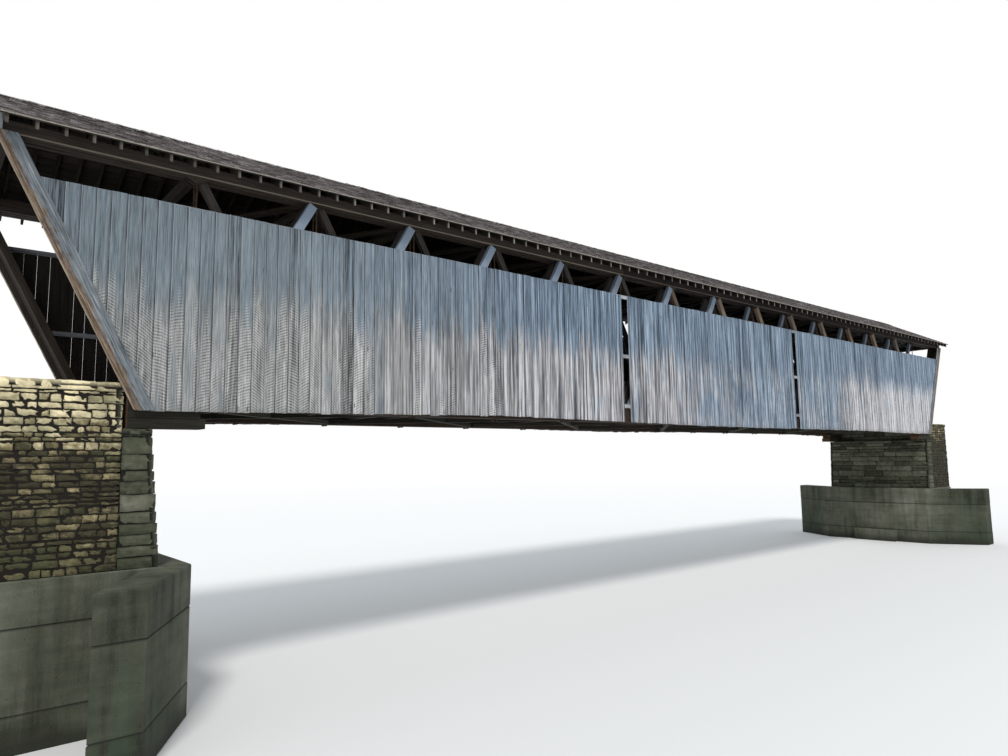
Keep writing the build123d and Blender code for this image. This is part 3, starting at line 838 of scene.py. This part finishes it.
# Braces, leaning in towards the middle, and the single counters that cross them. Those that lean one way
# get a pale blue-grey painted light where light falls on them, and those that lean to the left are tan from
# near the middle to the right end
CLEAR = UPPER_BOTTOM - LOWER_TOP
RUN, TAPER = PANEL - BLOCK_FOOT - BLOCK_CROWN, BLOCK_FOOT - BLOCK_CROWN
BRACE_PITCH = (CLEAR + math.sqrt(CLEAR ** 2 - 4 * RUN * TAPER)) / (2 * RUN)
BLOCK = TAPER / BRACE_PITCH
REACH_X, REACH_Z = RUN / 2, (CLEAR - BLOCK) / 2
MIDDLE = (LOWER_TOP + UPPER_BOTTOM) / 2
TAN_FROM = -2.0


def braces(name, side, node, width, lanes, leaning_in):
    stack = Stack()
    for lane in lanes:
        y = side * (TRUSS_MIDDLE + lane)
        for start in POINTS[:-1]:
            x = start + PANEL / 2
            lean = 1 if (x < 0) == leaning_in else -1
            # Braces leaning one way are mixed towards the pale blue-grey tip colour: painted light
            painted_lit = lane >= 0 and lean * side < 0
            pale = uniform(0.7, 1.0) if painted_lit else uniform(0.0, 0.1)
            tan = x > TAN_FROM and lean < 0 and lane >= 0
            bar(stack, (x - lean * REACH_X, y, MIDDLE - REACH_Z), (x + lean * REACH_X, y, MIDDLE + REACH_Z),
                (0, -1, 0), width - 0.004, BRACE_THICK, rings=4, extra=pale * (0.6 if lane == 0 else 1.0),
                tone=uniform(0.8, 1.2) if tan else uniform(0.0, 0.4))
    stack.make(f"{name}_{node}_timbers", brace_material, f"{name}_{node}", "framing_timber")


for name, side in SIDES:
    braces(name, side, "main_braces", BRACE_WIDTH, (BRACE_LANE, -BRACE_LANE), True)
    braces(name, side, "counter_braces", COUNTER_WIDTH, (0.0,), False)

# Angle blocks on each chord stick, at both ends of the rods
for name, side in SIDES:
    stack = Stack()
    for lane in (-1, 0, 1):
        y = side * (TRUSS_MIDDLE + lane * LANE) - STICK / 2
        for x in POINTS:
            for level, up in ((LOWER_TOP, 1), (UPPER_BOTTOM, -1)):
                outline = [(x - BLOCK_FOOT, level), (x + BLOCK_FOOT, level),
                           (x + BLOCK_CROWN, level + up * BLOCK), (x - BLOCK_CROWN, level + up * BLOCK)]
                prism(stack, outline, lambda u, o, v: (u, y + o, v), STICK, cut=0.004, along=(1, 0))
    stack.make(f"{name}_angle_block_timbers", frame_material, f"{name}_angle_blocks", "framing_timber")

# Rods in pairs with square nuts on plate washers
WASHER = 0.006


def square_plate(stack, x, y, z, half, thick, cut):
    """A square plate or nut with its lower face at a level."""
    square = [(x - half, y - half), (x + half, y - half), (x + half, y + half), (x - half, y + half)]
    prism(stack, square, lambda u, o, v: (u, v, z + o), thick, cut=cut)


for name, side in SIDES:
    stack = Stack()
    for x in POINTS:
        for lane in (-LANE / 2, LANE / 2):
            y = side * TRUSS_MIDDLE + lane
            foot, head = LOWER_BOTTOM - NUT_HEIGHT + GAP, UPPER_TOP + NUT_HEIGHT - GAP
            tube(stack, (x, y, foot), (x, y, head), ROD - HAIR)
            for level in (LOWER_BOTTOM - NUT_HEIGHT + WASHER, UPPER_TOP):
                plate = level + (NUT_HEIGHT - 2 * WASHER if level < LOWER_BOTTOM else 0.0)
                square_plate(stack, x, y, level, NUT / 2 - 0.004, NUT_HEIGHT - WASHER, 0.005)
                square_plate(stack, x, y, plate, NUT / 2, WASHER, 0.001)
    stack.make(f"{name}_rods", iron_material, f"{name}_truss_rods", "iron_rod")

# Bolsters under the ends of the lower chords: two layers, the upper one shorter
BOLSTER_STEP = 0.09
for name, end in ENDS:
    stack = Stack()
    low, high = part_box(f"{name}_bolsters")
    half = (high.z - low.z) / 2
    for side in (-1, 1):
        for lane in (-1, 0, 1):
            y = side * TRUSS_MIDDLE + lane * THIRD
            for z, short in ((low.z + half / 2, 0.0), (high.z - half / 2, BOLSTER_STEP)):
                first, last = (low.x + short, high.x) if end > 0 else (low.x, high.x - short)
                bar(stack, (first + 0.004, y, z), (last - 0.004, y, z), (0, 1, 0), half - 0.003,
                    THIRD - 0.004, rings=4, cut=0.008, wobble=0.001, tip=0.5)
    stack.make(f"{name}_bolster_timbers", bolster_material, f"{name}_bolsters", "framing_timber")

# Raked posts of the portals, three timbers side by side
for name, end in ENDS:
    stack = Stack()
    run = POST_WIDTH * PORTAL_PITCH
    outline = [(end * (portal_edge(z) - POST_SETBACK - back), z)
               for z, back in ((LOWER_TOP, 0), (LOWER_TOP, run), (UPPER_BOTTOM, run), (UPPER_BOTTOM, 0))]
    for side in (-1, 1):
        for k in range(3):
            near = TRUSS_INNER + k * THIRD + 0.003
            prism(stack, outline, lambda u, o, v: (u, side * (near + o), v), THIRD - 0.006,
                  along=(end * PORTAL_SLOPE, 1))
    stack.make(f"{name}_portal_post_timbers", frame_material, f"{name}_portal_posts", "framing_timber")

# Floor beams and tie beams across the bridge
FIRST_BEAM, BEAMS_PER_PANEL = 0.45, 3


def cross_timbers(name, places, low_y, high_y, bottom, top, node, tip=None):
    stack = Stack()
    for x in places:
        z = (bottom + top) / 2
        bar(stack, (x, low_y + HAIR, z), (x, high_y - HAIR, z), (1, 0, 0), top - bottom - HAIR, BEAM_WIDTH,
            rings=4, cut=0.008, tip=tip)
    stack.make(name, frame_material, node, "framing_timber")


spacing = (PANEL - 2 * FIRST_BEAM) / (BEAMS_PER_PANEL - 1)
places = [start + FIRST_BEAM + k * spacing for start in POINTS[:-1] for k in range(BEAMS_PER_PANEL)]
cross_timbers("floor_beam_timbers", [-HALF - FIRST_BEAM, *places, HALF + FIRST_BEAM], -BEAM_HALF, BEAM_HALF,
              BEAM_BOTTOM, BEAM_TOP, "floor_beams", tip=1.0)

# Deck planks
PLANK, PLANK_GAP = (0.2, 0.28), 0.006
stack = Stack()
for x, width in spans(-CHORD_END, CHORD_END, uniform, PLANK, PLANK[0] / 2, 0.02):
    drop = abs(normal(0, 0.002))
    middle, z = x + width / 2, (BEAM_TOP + DECK_TOP) / 2 - drop / 2
    bar(stack, (middle, -DECK_HALF + GAP, z), (middle, DECK_HALF - GAP, z), (0, 0, 1), width - PLANK_GAP,
        DECK_TOP - BEAM_TOP - drop - HAIR, rings=6, wobble=0.0008, tip=1.0)
stack.make("deck_planks", deck_material, "floor_deck", "deck_plank")

TIE_INSET = 0.075
low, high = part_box("tie_beams")
places = [low.x + TIE_INSET, *POINTS, high.x - TIE_INSET]
cross_timbers("tie_beam_timbers", places, low.y, high.y, low.z, high.z, "tie_beams")


# Crossed bracing in plan
LATERAL_INSET, LATERAL_END = 0.055, 0.07


def crossed(name, bays, clear, material):
    stack = Stack()
    low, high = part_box(name)
    y, z = high.y - LATERAL_INSET, (low.z + high.z) / 2
    for a, b in bays:
        start, stop = a + clear + LATERAL_END, b - clear - LATERAL_END
        for k, up in enumerate((1, -1)):
            bar(stack, (start, -up * y, z), (stop, up * y, z), (0, 0, 1), LATERAL_WIDTH,
                high.z - low.z - 0.002 - 0.006 * k, rings=4)
    stack.make(name + "_timbers", material, name, "framing_timber")


# The lower laterals take the darker bolster paint as a painted shade under the floor
crossed("lower_laterals", pairwise(POINTS[::2]), 0.005, bolster_material)
crossed("upper_laterals", pairwise(POINTS), 0.075, frame_material)

# Rafters, with pale end grain at the tails
RAFTER_STEP, LAST_RAFTER, TAIL = PANEL / 6, UPPER_END - 0.025, EAVE - 0.03
RAFTER_COUNT = int((LAST_RAFTER - RAFTER_STEP) / RAFTER_STEP) + 1
for name, side in SIDES:
    stack = Stack()
    distances = [RAFTER_STEP / 2 + k * RAFTER_STEP for k in range(RAFTER_COUNT)] + [LAST_RAFTER]
    half = RAFTER / 2 * PITCH
    for x in [end * distance for distance in distances for end in (-1, 1)]:
        pale = uniform(0.3, 1.1) * np.interp(x, [-16, -11], [0.3, 1.0])
        bar(stack, (x, side * TAIL, rafter_foot(TAIL) + half), (x, 0.0, rafter_foot(0) + half), (1, 0, 0),
            RAFTER, RAFTER_WIDTH, cut=0.003, wobble=0.001, tip=0.12, far_tip=pale, slant=side * ROOF_SLOPE)
    stack.make(f"{name}_rafter_timbers", rafter_material, f"{name}_rafters", "framing_timber")

# Roof: boards on the rafters, shingles in courses on them, and lapped shingles along the ridge
ROOF_BOARD, ROOF_BOARD_WIDTH, ROOF_BOARD_LENGTH = 0.02, (0.15, 0.21), (2.5, 5.5)
SHINGLE_FOOT, SHINGLE_WIDTH, SHINGLE_BUTT, LAP = 0.0215, (0.085, 0.2), (0.015, 0.026), 0.05
CAP_LENGTH, CAP_WIDTH, CAP_BUTT, CAP_STEP = (0.16, 0.3), (0.16, 0.198), (0.006, 0.018), (0.1, 0.19)
ROOF_STOP = ROOF_END - 0.004


def shingle(stack, corner, low, high, left, right, base, thick, pale=0.0):
    """A tapered shingle from low to high up the slope. corner maps (along, up the slope, height)."""
    skew, curl = normal(0, 0.003), normal(0, 0.0012)
    points = [(left, low + skew, base + GAP), (right, low - skew, base + GAP),
              (right, low - skew, base + thick + curl), (left, low + skew, base + thick - curl),
              (right, high, base + 0.004), (left, high, base + 0.004),
              (right, high, base), (left, high, base)]
    seed = uniform(0, SEEDS)
    grain = [(x, d, seed) for x, d, h in points]
    extra = [pale, pale, pale * 0.8, pale * 0.8, 0, 0, 0, 0]
    faces = [(0, 1, 2, 3), (3, 2, 4, 5), (1, 6, 4, 2), (0, 3, 5, 7)]
    stack.add([corner(x, d, h) for x, d, h in points], faces, grain, None, extra)


def roof_boards(name, side):
    stack = Stack()
    upright = np.subtract(slope_point(side, 0, 0, 1), slope_point(side, 0, 0, 0))
    for d, width in spans(0.0, ALONG, uniform, ROOF_BOARD_WIDTH, slack=0.05, gap=GAP):
        for x, length in spans(-ROOF_END + 0.01, ROOF_END - 0.01, uniform, ROOF_BOARD_LENGTH):
            ends = [slope_point(side, place, d + width / 2, 0.011) for place in (x + GAP, x + length - GAP)]
            bar(stack, *ends, upright, width - 0.006, ROOF_BOARD, rings=2, cut=0.002, wobble=0)
    stack.make(f"{name}_roof_boards", roof_board_material, f"{name}_roof_slope", "wood_shingle")


def roof_shingles(name, side):
    stack = Stack()
    for course in range(int(ALONG / EXPOSURE) + 1):
        for x, width in spans(-ROOF_STOP, ROOF_STOP, uniform, SHINGLE_WIDTH, slack=0.016):
            low = max(course * EXPOSURE + normal(0, 0.007), 0.0)
            thick = uniform(*SHINGLE_BUTT)
            high = min(low + EXPOSURE + LAP, ALONG)
            shingle(stack, lambda u, d, h: slope_point(side, u, d, h), low, high, x + GAP, x + width - GAP,
                    SHINGLE_FOOT, thick, 0.0 if course else 1.0)
    stack.make(f"{name}_roof_shingles", shingle_material, f"{name}_roof_slope", "wood_shingle")


for name, side in SIDES:
    roof_boards(name, side)
    roof_shingles(name, side)

stack = Stack()
x = -ROOF_STOP
while x < ROOF_END - 0.06:
    reach = min(x + uniform(*CAP_LENGTH), ROOF_STOP)
    for side in (-1, 1):
        width = uniform(*CAP_WIDTH) * PITCH
        thick = uniform(*CAP_BUTT)
        shingle(stack, lambda u, d, h: slope_point(side, d, u, h), x, reach, ALONG - width, ALONG,
                ROOF_THICK + GAP, thick)
    x += uniform(*CAP_STEP)
stack.make("ridge_shingles", shingle_material, "ridge_cap", "wood_shingle")

# Masonry: kinds of stonework, and the depth of the stones behind their face
BLOCKS = dict(rise=(0.13, 0.29), length=(0.45, 1.5), joint=0.012, relief=0.02, step=0.11)
RUBBLE = dict(rise=(0.065, 0.14), length=(0.12, 0.36), joint=0.015, relief=0.026, step=0.07)
SEAT_SLABS = dict(rise=(0.2, 0.25), length=(0.5, 1.1), joint=0.01, relief=0.008, step=0.12)
COPING_SIDE = dict(rise=(0.16, 0.16), length=(0.3, 0.6), joint=0.01, relief=0.014, step=0.1)
COPING_TOP = dict(rise=(0.35, 0.35), length=(0.3, 0.6), joint=0.01, relief=0.01, step=0.1)
STONE_DEPTH, CORE_INSET, CORNER = 0.12, 0.05, 0.02
LEAST_SHARE, SPLIT_CHANCE, SPLIT_RISE, ROUNDING = 0.6, 0.16, 0.16, 0.016


def stone(stack, place, u0, u1, v0, v1, joint, relief, step):
    """One stone with a rough, rounded face. place maps a distance, a depth and a level to a point."""
    across = max(5, int((u1 - u0) / step) + 2)
    up = max(4, int((v1 - v0) / step) + 2)
    s, t = np.meshgrid(np.linspace(0, 1, across), np.linspace(0, 1, up))
    border = (s == 0) | (s == 1) | (t == 0) | (t == 1)
    gap = np.abs(normal(joint / 2, joint / 3, 4)) + 0.001
    wander = joint * 0.28
    u = u0 + gap[0] + (u1 - u0 - gap[0] - gap[1]) * s + normal(0, wander, s.shape) * border
    v = v0 + gap[2] + (v1 - v0 - gap[2] - gap[3]) * t + normal(0, wander, s.shape) * border

    # The face: rough, tilted, and rounded off towards the joints
    inner = np.minimum(np.minimum(u - u0, u1 - u), np.minimum(v - v0, v1 - v))
    tilt = normal(0, relief * 0.5, 2)
    out = -relief * 0.6 - np.abs(normal(0, relief * 0.35, s.shape))
    out = out + tilt[0] * (s - 0.5) + tilt[1] * (t - 0.5)
    out -= relief * np.exp(-np.maximum(inner, 0) / ROUNDING) + uniform(0, relief * 0.8)
    front = np.stack([u, np.minimum(out, -HAIR), v], -1).reshape(-1, 3)

    # The sides: from the points round the face's border straight back
    count = len(front)
    index = np.arange(count).reshape(up, across)
    loop = [*index[0], *index[1:, -1], *index[-1, -2::-1], *index[-2:0:-1, 0]]
    verts = np.concatenate([front, front[loop] * (1, 0, 1) - (0, STONE_DEPTH, 0)])
    faces = grid_faces(up, across)
    for k, here in enumerate(loop):
        after = (k + 1) % len(loop)
        faces.append((here, count + k, count + after, loop[after]))
    extra = [0.55 if edge else 1.0 for edge in border.ravel()] + [0.0] * len(loop)
    grain = verts + uniform(0, 100, 3)
    stack.add([place(a, o, b) for a, o, b in verts], faces, grain, None, extra)


def wall(stack, place, u0, u1, v0, v1, rise, length, joint, relief, step, edge=None):
    """Courses of stones over a face. rise and length are ranges, and edge gives its start at a level."""
    for v, high in spans(v0, v1, uniform, rise, LEAST_SHARE * rise[0]):
        start = edge(v + high) if edge else u0
        for u, wide in spans(start, u1, uniform, length, LEAST_SHARE * length[0]):
            split = uniform() < SPLIT_CHANCE and high > SPLIT_RISE
            cuts = (v, v + high * 0.5, v + high) if split else (v, v + high)
            for a, b in pairwise(cuts):
                stone(stack, place, u, u + wide, a, b, joint, relief, step)


def face_edge(z):
    """Distance from the middle to the stone's river face at a level."""
    return RIVER_FACE + BATTER * (z - FOOTING_TOP)


def core(stack, end, foot_near, far, head_near, top):
    """Plain filling behind the stones' joints, seen as their mortar."""
    outline = [(end * foot_near, FOOTING_TOP), (end * far, FOOTING_TOP), (end * far, top),
               (end * head_near, top)]
    prism(stack, outline, lambda u, o, v: (u, -STONE_HALF + CORE_INSET + o, v),
          2 * STONE_HALF - 2 * CORE_INSET, tone=0.0)


WALL_SPAN = (-STONE_HALF + CORNER, STONE_HALF - CORNER)
ROAD_SPAN = (SEAT_END, ROAD_END)
COPING, COPING_WIDTH = 0.16, 0.36


def abutment(name, end):
    """Block stonework on the river face, the sides and the seat."""
    stack = Stack()
    wall(stack, lambda u, o, v: (end * (face_edge(v) - o), u, v), *WALL_SPAN, FOOTING_TOP, SEAT_LEVEL,
         **BLOCKS)
    for side in (-1, 1):
        wall(stack, lambda u, o, v: (end * u, side * (STONE_HALF + o), v), RIVER_FACE, SEAT_END,
             FOOTING_TOP, SEAT_LEVEL, edge=face_edge, **BLOCKS)
    near = face_edge(SEAT_LEVEL)
    wall(stack, lambda u, o, v: (end * v, u, SEAT_LEVEL + o), *WALL_SPAN, near + CORNER, SEAT_END,
         **SEAT_SLABS)
    core(stack, end, RIVER_FACE + CORE_INSET, SEAT_END, near + CORE_INSET, SEAT_LEVEL - CORE_INSET)
    stack.make(f"{name}_abutment_stones", stone_material, f"{name}_abutment", "limestone")


def approach(name, end):
    """Rubble walls with coping stones, and a wall of blocks behind the seat."""
    stack = Stack()
    for side in (-1, 1):
        def upright(u, o, v):
            return (end * u, side * (STONE_HALF + o), v)

        wall(stack, upright, *ROAD_SPAN, FOOTING_TOP, DECK_TOP - COPING, **RUBBLE)
        wall(stack, upright, *ROAD_SPAN, DECK_TOP - COPING, DECK_TOP, **COPING_SIDE)
        wall(stack, lambda u, o, v: (end * u, side * v, DECK_TOP + o), *ROAD_SPAN,
             STONE_HALF - COPING_WIDTH, STONE_HALF - 0.012, **COPING_TOP)
    top = DECK_TOP - CORNER
    wall(stack, lambda u, o, v: (end * (ROAD_END + o), u, v), *WALL_SPAN, FOOTING_TOP, top, **RUBBLE)
    seat_wall = Stack()
    wall(seat_wall, lambda u, o, v: (end * (SEAT_END - o), u, v), *WALL_SPAN, SEAT_LEVEL, top, **BLOCKS)
    seat_wall.make(f"{name}_seat_wall_stones", stone_material, f"{name}_approach_wall", "limestone")
    near, far = SEAT_END + CORE_INSET, ROAD_END - CORE_INSET
    core(stack, end, near, far, near, DECK_TOP - 0.06)
    stack.make(f"{name}_approach_stones", rubble_material, f"{name}_approach_wall", "limestone")


BED, RUT, PEBBLE = 0.012, 0.015, 0.006


def gravel(name, end, across=24, long=44):
    """Gravel between the copings, in two shallow ruts."""
    stack = Stack()
    verts = []
    for j in range(long + 1):
        for i in range(across + 1):
            rut = RUT * math.sin(2 * math.pi * j / long) ** 2
            verts.append((end * (SEAT_END + (ROAD_END - SEAT_END) * i / across),
                          (STONE_HALF - COPING_WIDTH) * (2 * j / long - 1),
                          DECK_TOP - BED - abs(normal(0, PEBBLE)) - rut))
    stack.add(verts, grid_faces(long + 1, across + 1), verts)
    stack.make(f"{name}_gravel", gravel_material, f"{name}_approach_wall", "limestone")


for name, end in ENDS:
    abutment(name, end)
    approach(name, end)
    gravel(name, end)

# Footings: concrete in lifts, with splayed wings and a toe
LIFT_TONES, LIFT_CUTS = (0.5, 0.68, 0.4), (0.012, 0.012, 0.02)


def footing_outline(end):
    back, depth = FOOTING_FACE + WING * SPLAY, WING_THICK * math.sqrt(1 + SPLAY ** 2)
    half = [(FOOTING_FACE, STONE_HALF), (back, STONE_HALF + WING), (back + depth, STONE_HALF + WING),
            (FOOTING_FACE + depth, STONE_HALF), (ROAD_END, STONE_HALF)]
    return np.array([(end * x, y) for x, y in half] + [(end * x, -y) for x, y in reversed(half)])


for name, end in ENDS:
    stack = Stack()
    for k, (low, high) in enumerate(pairwise(LIFTS)):
        outline = inset(footing_outline(end), 0.001 + 0.003 * (k % 2))
        prism(stack, roughen(outline, 0.45, 0.0012), lambda u, o, v: (u, v, low + o), high - low,
              cut=LIFT_CUTS[k], tone=LIFT_TONES[k])
    front, rear, half = end * (FOOTING_FACE - TOE_REACH), end * (FOOTING_FACE + 0.05), TOE_WIDTH / 2
    toe = [(front, -half), (front, half), (rear, half), (rear, -half)]
    prism(stack, roughen(toe, 0.2, 0.004), lambda u, o, v: (u, v, o), TOE_HEIGHT, cut=0.025, tone=1.0)
    stack.make(f"{name}_footing_concrete", concrete_material, f"{name}_footing", "concrete")

# Camera at the photograph's place
FOCAL, PHOTO_WIDTH, SENSOR = 713.3, 1008, 36
EYE = (-20.23, -15.375, 4.225)
yaw, pitch, roll = math.radians(40.17), math.radians(6.37), math.radians(0.83)
forward = Vector((math.sin(yaw) * math.cos(pitch), math.cos(yaw) * math.cos(pitch), math.sin(pitch)))
right = Vector((math.cos(yaw), -math.sin(yaw), 0.0))
down = forward.cross(right)
cam_x = right * math.cos(roll) + down * math.sin(roll)
cam_y = right * math.sin(roll) - down * math.cos(roll)
camera_data = bpy.data.cameras.new("camera")
camera_data.sensor_fit = "HORIZONTAL"
camera_data.sensor_width = SENSOR
camera_data.lens = FOCAL / PHOTO_WIDTH * SENSOR
camera_data.clip_end = 500
camera = add_object("camera", camera_data)
camera.matrix_world = Matrix([(cam_x[i], cam_y[i], -forward[i], EYE[i]) for i in range(3)] + [(0, 0, 0, 1)])
bpy.context.scene.camera = camera


# World: a pale blue light, with a white background
world = bpy.data.worlds.new("studio")
bpy.context.scene.world = world
w = Nodes(world)
w.tree.nodes.clear()
sky, white = (w.node("Background", *values) for values in (((0.88, 0.94, 1.0), 0.7), ((1, 1, 1), 1.0)))
shown = w.node("MixShader", w.seen_directly(), sky, white)
w.put(w.tree.nodes.new("ShaderNodeOutputWorld").inputs[0], shown)


# Lamps
def sun(name, azimuth, elevation, energy, angle, colour):
    """A soft sun lamp from a direction in degrees."""
    data = bpy.data.lights.new(name, "SUN")
    data.energy, data.angle, data.color = energy, math.radians(angle), colour
    lamp = add_object(name, data)
    az, el = math.radians(azimuth), math.radians(elevation)
    toward = Vector((math.cos(el) * math.cos(az), math.cos(el) * math.sin(az), math.sin(el)))
    lamp.rotation_euler = toward.to_track_quat("Z", "Y").to_euler()


sun("key", -125, 48, 2.0, 12, (1.0, 0.98, 0.95))
sun("fill", 60, 40, 0.5, 30, (0.92, 0.96, 1.0))

# A round floor that glows white far away, so that its edge doesn't show
FLOOR_RADIUS, FLOOR_DROP, GLOW_FROM, GLOW_FULL = 160, 0.002, 32, 110
floor_mesh = bpy.data.meshes.new("floor")
ring = [(FLOOR_RADIUS * math.cos(t), FLOOR_RADIUS * math.sin(t), -FLOOR_DROP)
        for t in np.linspace(0, 2 * math.pi, 64, endpoint=False)]
floor_mesh.from_pydata(ring, [], [tuple(range(len(ring)))])
floor = add_object("floor", floor_mesh)
p = Paint("floor")
p.surface(1.0, 0.0)
p.colour((0.8, 0.8, 0.79))
x, y, z = p.split(p.place())
away = p.math("SQRT", p.add(p.times(x, x), p.times(y, y)))
white = p.times(p.fade(away, GLOW_FROM, GLOW_FULL), p.seen_directly())
blend = p.node("MixShader", white, p.shader.outputs[0], p.node("Emission", (1, 1, 1), 1.0))
p.put(p.tree.nodes["Material Output"].inputs[0], blend)
floor_mesh.materials.append(p.material)

bpy.context.scene.view_settings.view_transform = "Standard"
